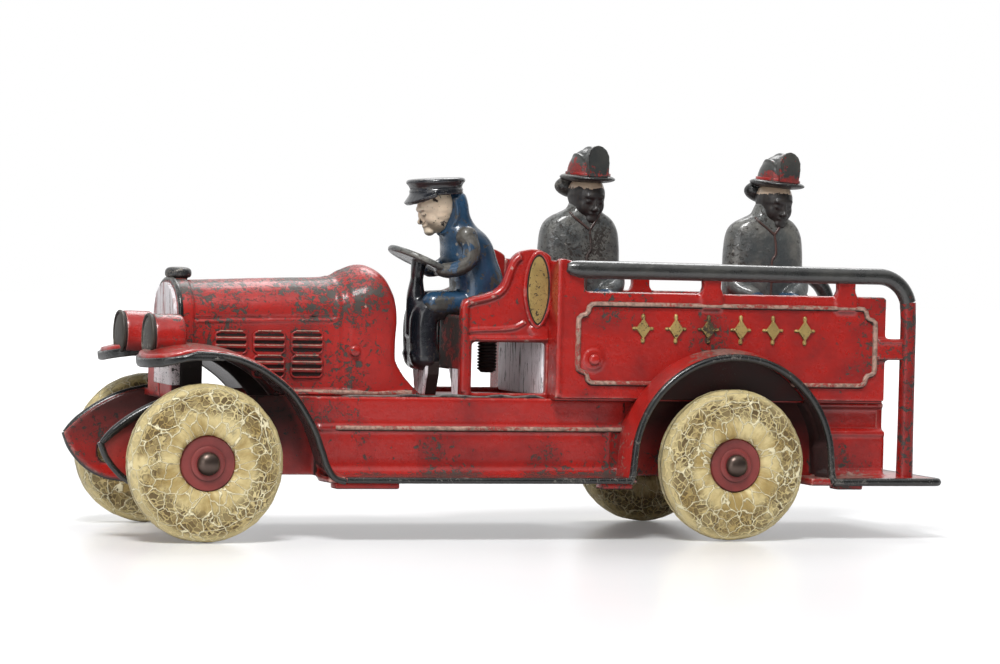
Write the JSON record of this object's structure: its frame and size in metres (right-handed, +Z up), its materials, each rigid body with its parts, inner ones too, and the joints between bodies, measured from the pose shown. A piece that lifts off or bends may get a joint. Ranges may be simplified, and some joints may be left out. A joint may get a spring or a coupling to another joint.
{
  "type": "cast iron toy fire truck",
  "caption": "Toy fire patrol truck: two riveted hollow castings, a driver and seated firemen, and wide tyred wheels rolling on plain headed axles.",
  "frame": {"origin": "centre of the bounding box on the ground, under the wheels", "axes": "+X from the radiator to the rear step, +Y to the truck's right side, +Z up"},
  "size_m": [0.2408, 0.0808, 0.1093],
  "materials": {
    "red_enamel": "glossy red enamel on cast iron, chipped and worn",
    "rose_enamel": "dull rose red enamel on cast iron",
    "blue_enamel": "worn blue enamel on cast iron",
    "black_enamel": "worn black and blue enamel on cast iron",
    "cream_rubber": "aged cream rubber, crazed all over",
    "dark_steel": "dark oiled steel"
  },
  "bodies": {
    "truck": {"body_left": "red_enamel", "body_right": "red_enamel", "front_rivet": "red_enamel", "rear_rivet": "red_enamel", "driver": "blue_enamel", "driver_stud": "dark_steel", "driver_nut": "dark_steel", "front_fireman": "black_enamel", "front_fireman_stud": "dark_steel", "front_fireman_nut": "dark_steel", "rear_fireman": "black_enamel", "rear_fireman_stud": "dark_steel", "rear_fireman_nut": "dark_steel"},
    "front_axle_bar": {"front_axle": "dark_steel"},
    "rear_axle_bar": {"rear_axle": "dark_steel"},
    "front_left_wheel": {"front_left_hub": "rose_enamel", "front_left_tyre": "cream_rubber"},
    "front_right_wheel": {"front_right_hub": "rose_enamel", "front_right_tyre": "cream_rubber"},
    "rear_left_wheel": {"rear_left_hub": "rose_enamel", "rear_left_tyre": "cream_rubber"},
    "rear_right_wheel": {"rear_right_hub": "rose_enamel", "rear_right_tyre": "cream_rubber"}
  },
  "joints": [
    {"name": "front_axle_spin", "type": "hinge", "parent": "truck", "child": "front_axle_bar", "pos_m": [-0.0941, 0, 0.021], "axis": [0, 1, 0], "continuous": true},
    {"name": "rear_axle_spin", "type": "hinge", "parent": "truck", "child": "rear_axle_bar", "pos_m": [0.0559, 0, 0.021], "axis": [0, 1, 0], "continuous": true},
    {"name": "front_left_wheel_spin", "type": "hinge", "parent": "front_axle_bar", "child": "front_left_wheel", "pos_m": [-0.0941, -0.034, 0.021], "axis": [0, 1, 0], "continuous": true},
    {"name": "front_right_wheel_spin", "type": "hinge", "parent": "front_axle_bar", "child": "front_right_wheel", "pos_m": [-0.0941, 0.034, 0.021], "axis": [0, 1, 0], "continuous": true},
    {"name": "rear_left_wheel_spin", "type": "hinge", "parent": "rear_axle_bar", "child": "rear_left_wheel", "pos_m": [0.0559, -0.034, 0.021], "axis": [0, 1, 0], "continuous": true},
    {"name": "rear_right_wheel_spin", "type": "hinge", "parent": "rear_axle_bar", "child": "rear_right_wheel", "pos_m": [0.0559, 0.034, 0.021], "axis": [0, 1, 0], "continuous": true}
  ]
}
